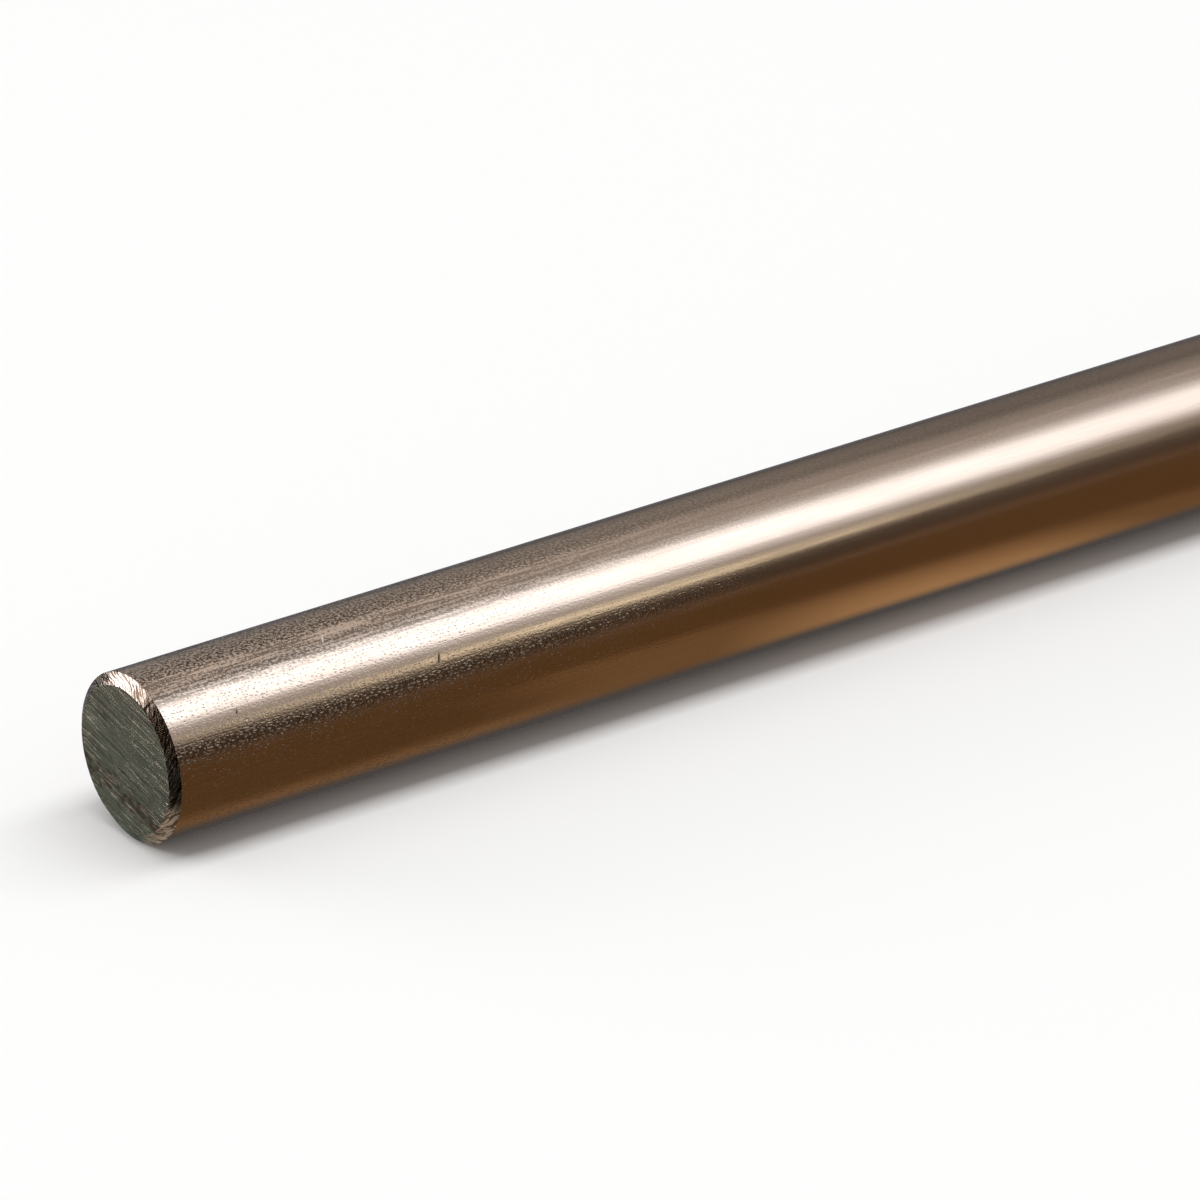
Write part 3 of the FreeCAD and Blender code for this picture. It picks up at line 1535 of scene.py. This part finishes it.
@dataclass(frozen=True)
class Diffuser(ReflectedCard):
    """The overhead lamp's diffuser as the metal mirrors it, even in the middle and faded at its long edges.

    Args:
        height: Height above the floor.
        edges: Its two edges across the bar.
        ends: Where it starts and stops along X.
        tones: Colours from its front edge to its back one.
        slant: How far the tones lean towards the front for each metre along X.
        straight: Where along X they don't lean.
        fade: Where along X it starts and stops to dim.
        bow: How far that lies further along X, for each square metre of the square across the bar.
        dim_share: What is left of the brightness past that.
    """

    height: float = 1.15
    edges: Span = (-1.27, 0.33)
    ends: Span = (-1.0, 1.4)
    tones: Tones = Tones((
        (0.0, (0.36, 0.36, 0.36)),
        (0.17, (0.37, 0.37, 0.37)),
        (0.29, (0.74, 0.79, 0.84)),
        (0.34, (1.28, 1.46, 1.66)),
        (0.39, (1.82, 2.06, 2.34)),
        (0.655, (1.82, 2.06, 2.34)),
        (0.715, (1.28, 1.46, 1.66)),
        (0.78, (0.80, 0.88, 0.96)),
        (0.855, (0.50, 0.52, 0.54)),
        (1.0, (0.43, 0.43, 0.43)),
    ))
    slant: float = 0.7
    straight: float = 0.62
    fade: Span = (0.60, 0.68)
    bow: float = 0.22
    dim_share: float = 0.72

    def make(self) -> None:
        """Hangs the card level."""
        low, high = zip(self.ends, self.edges)
        self.lay("diffuser_card", (*low, self.height), (*high, self.height))

    def tint(self, recipe: Recipe, first: Socket, second: Socket) -> Socket:
        """Goes through the tones across the bar and dims them along it.

        Args:
            recipe: The card's material.
            first: Way along X.
            second: Way across the bar.

        Returns:
            The socket of the colour.
        """
        front, back = self.edges
        along = recipe.maths("SUBTRACT", first, self.straight)
        leaned = recipe.maths("MULTIPLY_ADD", along, self.slant, second)
        share = recipe.maths("DIVIDE", recipe.maths("SUBTRACT", leaned, front), back - front)
        tone = self.tones.read(recipe, share)
        bowed = recipe.maths("MULTIPLY_ADD", recipe.product(second, second), -self.bow, first)
        return recipe.blend(recipe.fall(bowed, self.fade, self.dim_share), BLACK, tone)


@dataclass(frozen=True)
class BackCard(ReflectedCard):
    """A grey card that stands close behind the bar and darkens towards the far end.

    Args:
        away: Distance behind the bar's axis.
        height: Height of the card.
        ends: Where it starts and stops along X.
        tones: Colours from its foot to its top, where it is lightest.
        slant: How far the darkening leans along the bar for each metre up.
        fade: Where the darkening starts and stops along X, at the foot.
        dark_share: What is left of the brightness at the dark end.
        even: Share of the height from which the darkening goes again towards the top.
    """

    away: float = 0.12
    height: float = 0.42
    ends: Span = (-0.10, 1.2)
    tones: Tones = Tones((
        (0.0, (0.135, 0.140, 0.160)),
        (0.014, (0.14, 0.145, 0.160)),
        (0.042, (0.345, 0.34, 0.33)),
        (0.10, (0.385, 0.38, 0.37)),
        (0.19, (0.405, 0.40, 0.39)),
        (0.285, (0.305, 0.305, 0.30)),
        (0.41, (0.555, 0.555, 0.55)),
        (0.61, (0.69, 0.69, 0.68)),
        (1.0, (0.54, 0.54, 0.54)),
    ))
    slant: float = 0.45
    fade: Span = (-0.105, -0.03)
    dark_share: float = 0.42
    even: float = 0.7

    def make(self) -> None:
        """Stands the card up."""
        self.lay("back_card", (self.ends[0], self.away, 0.0), (self.ends[1], self.away, self.height))

    def tint(self, recipe: Recipe, first: Socket, second: Socket) -> Socket:
        """Goes through the tones upwards and darkens them along the bar.

        Args:
            recipe: The card's material.
            first: Way along X.
            second: Height above the floor.

        Returns:
            The socket of the colour.
        """
        tone = self.tones.read(recipe, recipe.maths("DIVIDE", second, self.height))
        leaned = recipe.maths("MULTIPLY_ADD", second, -self.slant, first)
        lift = recipe.rise(second, (self.even * self.height, self.height))
        share = recipe.maths("MAXIMUM", recipe.fall(leaned, self.fade, self.dark_share), lift)
        return recipe.blend(share, BLACK, tone)


@dataclass(frozen=True)
class Bench(ReflectedCard):
    """A brown card on the floor under the drawn skin, lighter close to the bar past its near end.

    Args:
        brown: Its colour away from the bar.
        light_brown: Its colour beside the bar, past the dark stretch at the near end.
        lighten: Distances from the bar's axis between which it goes from one to the other.
        tan_share: How far the brown is lightened evenly, past the dark stretch.
        tan_start: Distances from the near end between which the dark stretch ends.
        tan_reach: Distances from the bar's axis between which the even part ends.
        shade: Distances from the near end between which the light brown starts.
        narrowing: How much closer to the bar the light brown ends for each metre along it.
        straight: Distance from the near end at which that starts from nothing.
        farther: Distances from the near end between which the light brown fades again.
        left_over: What is left of it past that.
        close_brown: Its colour right beside the bar in the dark stretch.
        close: Distances from the bar's axis between which that one ends.
        grey: Its colour under the bar.
        under: Distances from the bar's axis between which that one ends.
        slate: Its colour behind the bar.
        behind: Places across the bar between which it goes over to that one.
    """

    brown: Colour = (0.100, 0.0575, 0.0245)
    light_brown: Colour = (0.43, 0.28, 0.145)
    lighten: Span = (0.0035, 0.0135)
    tan_share: float = 0.20
    tan_start: Span = (0.022, 0.033)
    tan_reach: Span = (0.0095, 0.0125)
    shade: Span = (0.032, 0.056)
    narrowing: float = 0.13
    straight: float = 0.043
    farther: Span = (0.060, 0.075)
    left_over: float = 0.25
    close_brown: Colour = (0.20, 0.125, 0.062)
    close: Span = (0.0040, 0.0058)
    grey: Colour = (0.075, 0.078, 0.082)
    under: Span = (0.0027, 0.0044)
    slate: Colour = (0.135, 0.140, 0.160)
    behind: Span = (0.004, 0.012)

    def make(self, near: float, far: float) -> None:
        """Lays the card.

        Args:
            near: Where it starts along X.
            far: Where it stops along X.
        """
        self.lay_on_floor("bench_card", near, far)

    def tint(self, recipe: Recipe, first: Socket, second: Socket) -> Socket:
        """Lightens the brown towards the bar and away from its near end, and greys it under and behind it.

        Args:
            recipe: The card's material.
            first: Way along X.
            second: Way across the bar.

        Returns:
            The socket of the colour.
        """
        from_end = recipe.maths("ADD", first, -CAD_BOX[0].x)
        away = recipe.maths("ABSOLUTE", second)
        close = recipe.product(recipe.fall(away, self.close), recipe.fall(from_end, self.tan_start))
        dark = recipe.blend(close, self.brown, self.close_brown)
        past = recipe.maths("SUBTRACT", from_end, self.straight)
        leaned = recipe.maths("MULTIPLY_ADD", past, self.narrowing, away)
        tan_start = recipe.rise(from_end, self.tan_start, self.tan_share)
        tan = recipe.product(tan_start, recipe.fall(leaned, self.tan_reach))
        light_start = recipe.product(recipe.fall(from_end, self.farther, self.left_over),
                                     recipe.rise(from_end, self.shade))
        light = recipe.product(recipe.fall(leaned, self.lighten), light_start)
        beside = recipe.blend(recipe.maths("MAXIMUM", tan, light), dark, self.light_brown)
        around = recipe.pass_over(away, self.under, self.grey, beside)
        return recipe.pass_over(second, self.behind, around, self.slate)


@dataclass(frozen=True)
class Mat(ReflectedCard):
    """A grey-green card past the near end of the bar, pale beside it and with a black wedge in front.

    Args:
        overlap: How far it goes in under the near end of the bar.
        green: Its colour behind the bar's axis.
        pale: Its colour in front of the bar's axis.
        black: Colour of the wedge.
        white: Its colour behind, farther off.
        plain: Its colour in front of the wedge.
        front: Places across the bar between which it goes from black to pale.
        wedge: Width of the wedge at the bar's end, and how much it widens for each metre past it.
        wedge_edge: Shares of that width between which the wedge ends.
        under: Places across the bar between which it goes from pale to green.
        pale_reach: Distances from the end between which it goes from pale to plain.
        beyond: Distances from the end between which it goes from green to white.
        dim: Its colour well behind the bar.
        dimming: Places across the bar between which it goes over to that one.
    """

    overlap: float = 0.8 * MILLIMETRE
    green: Colour = (0.090, 0.121, 0.113)
    pale: Colour = (0.30, 0.285, 0.255)
    black: Colour = (0.004, 0.003, 0.002)
    white: Colour = (0.56, 0.56, 0.54)
    plain: Colour = (0.12, 0.135, 0.12)
    front: Span = (-0.0057, -0.0040)
    wedge: Span = (0.0054, 0.38)
    wedge_edge: Span = (0.95, 1.25)
    under: Span = (-0.0022, -0.0004)
    pale_reach: Span = (0.0030, 0.0046)
    beyond: Span = (0.0165, 0.022)
    dim: Colour = (0.09, 0.10, 0.085)
    dimming: Span = (0.040, 0.060)

    def make(self, end: float) -> None:
        """Lays the card.

        Args:
            end: Where it stops along X, under the bar.
        """
        self.lay_on_floor("mat_card", -CARD_REACH, end)

    def tint(self, recipe: Recipe, first: Socket, second: Socket) -> Socket:
        """Goes from black in front through pale to green and, farther from the end, white behind.

        Args:
            recipe: The card's material.
            first: Way along X.
            second: Way across the bar.

        Returns:
            The socket of the colour.
        """
        past = recipe.maths("ADD", recipe.maths("ABSOLUTE", first), CAD_BOX[0].x)
        behind = recipe.pass_over(past, self.beyond, self.green, self.white)
        behind = recipe.pass_over(second, self.dimming, behind, self.dim)
        beside = recipe.pass_over(past, self.pale_reach, self.pale, self.plain)
        lightened = recipe.pass_over(second, self.under, beside, behind)
        width = recipe.maths("MULTIPLY_ADD", past, self.wedge[1], self.wedge[0])
        share = recipe.maths("DIVIDE", recipe.maths("ABSOLUTE", second), width)
        ahead = recipe.pass_over(share, self.wedge_edge, self.black, self.plain)
        return recipe.pass_over(second, self.front, ahead, lightened)


@dataclass(frozen=True)
class PlainCard(ReflectedCard):
    """A card of one colour, upright or level.

    Args:
        name: Name of the card.
        low: Its lowest corner.
        high: Its highest corner.
        colour: Its colour.
    """

    name: str
    low: Point
    high: Point
    colour: Colour

    def make(self) -> None:
        """Puts the card in its place."""
        self.lay(self.name, self.low, self.high)

    def tint(self, recipe: Recipe, first: Socket, second: Socket) -> Socket:
        """One even colour."""
        return recipe.blend(0.0, self.colour, self.colour)


@dataclass(frozen=True)
class Studio:
    """Pale floor, plain sky, and the lamps and cards round the bar.

    Args:
        floor_colour: Colour of the floor, which the picture's background shows.
        floor_roughness: Its roughness.
        floor_size: Its length and width.
        sky: Level of the even grey sky.
    """

    floor_colour: Colour = (0.94, 0.94, 0.935)
    floor_roughness: float = 0.9
    floor_size: float = 60.0
    sky: float = 0.50

    def floor(self) -> None:
        """Lays the pale floor."""
        half = self.floor_size / 2
        mesh = bpy.data.meshes.new("pale_floor")
        corners, _ = rectangle(Vector((-half, -half, 0)), Vector((half, half, 0)))
        mesh.from_pydata(corners, [], [(0, 1, 2, 3)])
        recipe = Recipe("pale_floor")
        recipe.shader.inputs["Base Color"].default_value = (*self.floor_colour, 1.0)
        recipe.shader.inputs["Roughness"].default_value = self.floor_roughness
        recipe.shader.inputs["Specular IOR Level"].default_value = 0.0
        mesh.materials.append(recipe.material)
        place_in_scene("pale_floor", mesh)

    def world(self) -> None:
        """Hangs an even grey sky round the scene."""
        world = bpy.data.worlds.new("studio")
        world.use_nodes = True
        sky = world.node_tree.nodes["Background"]
        sky.inputs["Color"].default_value = (self.sky, self.sky, self.sky, 1.0)
        sky.inputs["Strength"].default_value = 1.0
        bpy.context.scene.world = world

    def lamps(self) -> list[Softbox]:
        """The two lamps, one overhead and one low behind the near end."""
        return [
            Softbox("overhead_softbox", (0.0, -0.205, 1.33), (3.2, 0.58), 2.8),
            Softbox("low_panel", (-0.63, 0.86, 0.30), (0.72, 0.40), 2.4),
        ]

    def plain_cards(self, far: float) -> list[PlainCard]:
        """Cards of one colour: two light ones, one for the low lamp, a black one and one past the far end.

        Args:
            far: Where the card past the far end starts along X.

        Returns:
            The cards.
        """
        far_low, far_high = (far, -CARD_REACH, CARD_HEIGHT), (CARD_REACH, CARD_REACH, CARD_HEIGHT)
        return [
            PlainCard("warm_card", (0.036, -0.25, 0.146), (0.088, -0.25, 0.206), (1.02, 1.01, 0.82)),
            PlainCard("panel_card", (-1.21, 0.86, 0.09), (-0.25, 0.86, 0.53), (3.3, 3.5, 3.9)),
            PlainCard("left_light_card", (-0.95, 0.27, 0.34), (-0.95, 0.66, 0.56), (1.7, 1.7, 1.75)),
            PlainCard("far_mat_card", far_low, far_high, (0.13, 0.14, 0.125)),
            PlainCard("left_black_card", (-0.93, -0.90, 0.0), (-0.93, 0.14, 0.50), (0.015, 0.010, 0.006)),
        ]

    def make(self, bar: BronzeBar) -> None:
        """Sets up the studio.

        Args:
            bar: The bar that it is set up for.
        """
        self.floor()
        self.world()
        for lamp in self.lamps():
            lamp.make(Vector((0, 0, bar.axis_height)))
        mat = Mat()
        inner = bar.length / 2 - mat.overlap
        mat.make(-inner)
        Bench().make(-inner, inner)
        for card in (Surround(), BackCard(), Diffuser(), *self.plain_cards(inner)):
            card.make()


def main() -> None:
    """Builds the bar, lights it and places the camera."""
    logging.basicConfig(level=logging.INFO, format="%(message)s")
    bpy.context.scene.view_settings.view_transform = "Standard"
    sizes = BronzeBar.from_frame()
    bar = sizes.make()
    triangles = sum(len(face.vertices) - 2 for face in bar.data.polygons)
    LOG.info("%s: %d triangles, %.1f mm long, %.1f mm thick", bar.name, triangles,
             sizes.length / MILLIMETRE, 2 * sizes.radius / MILLIMETRE)
    Studio().make(sizes)
    Viewpoint().make(Vector((-sizes.length / 2, 0, sizes.axis_height)))


if __name__ == "__main__":
    main()
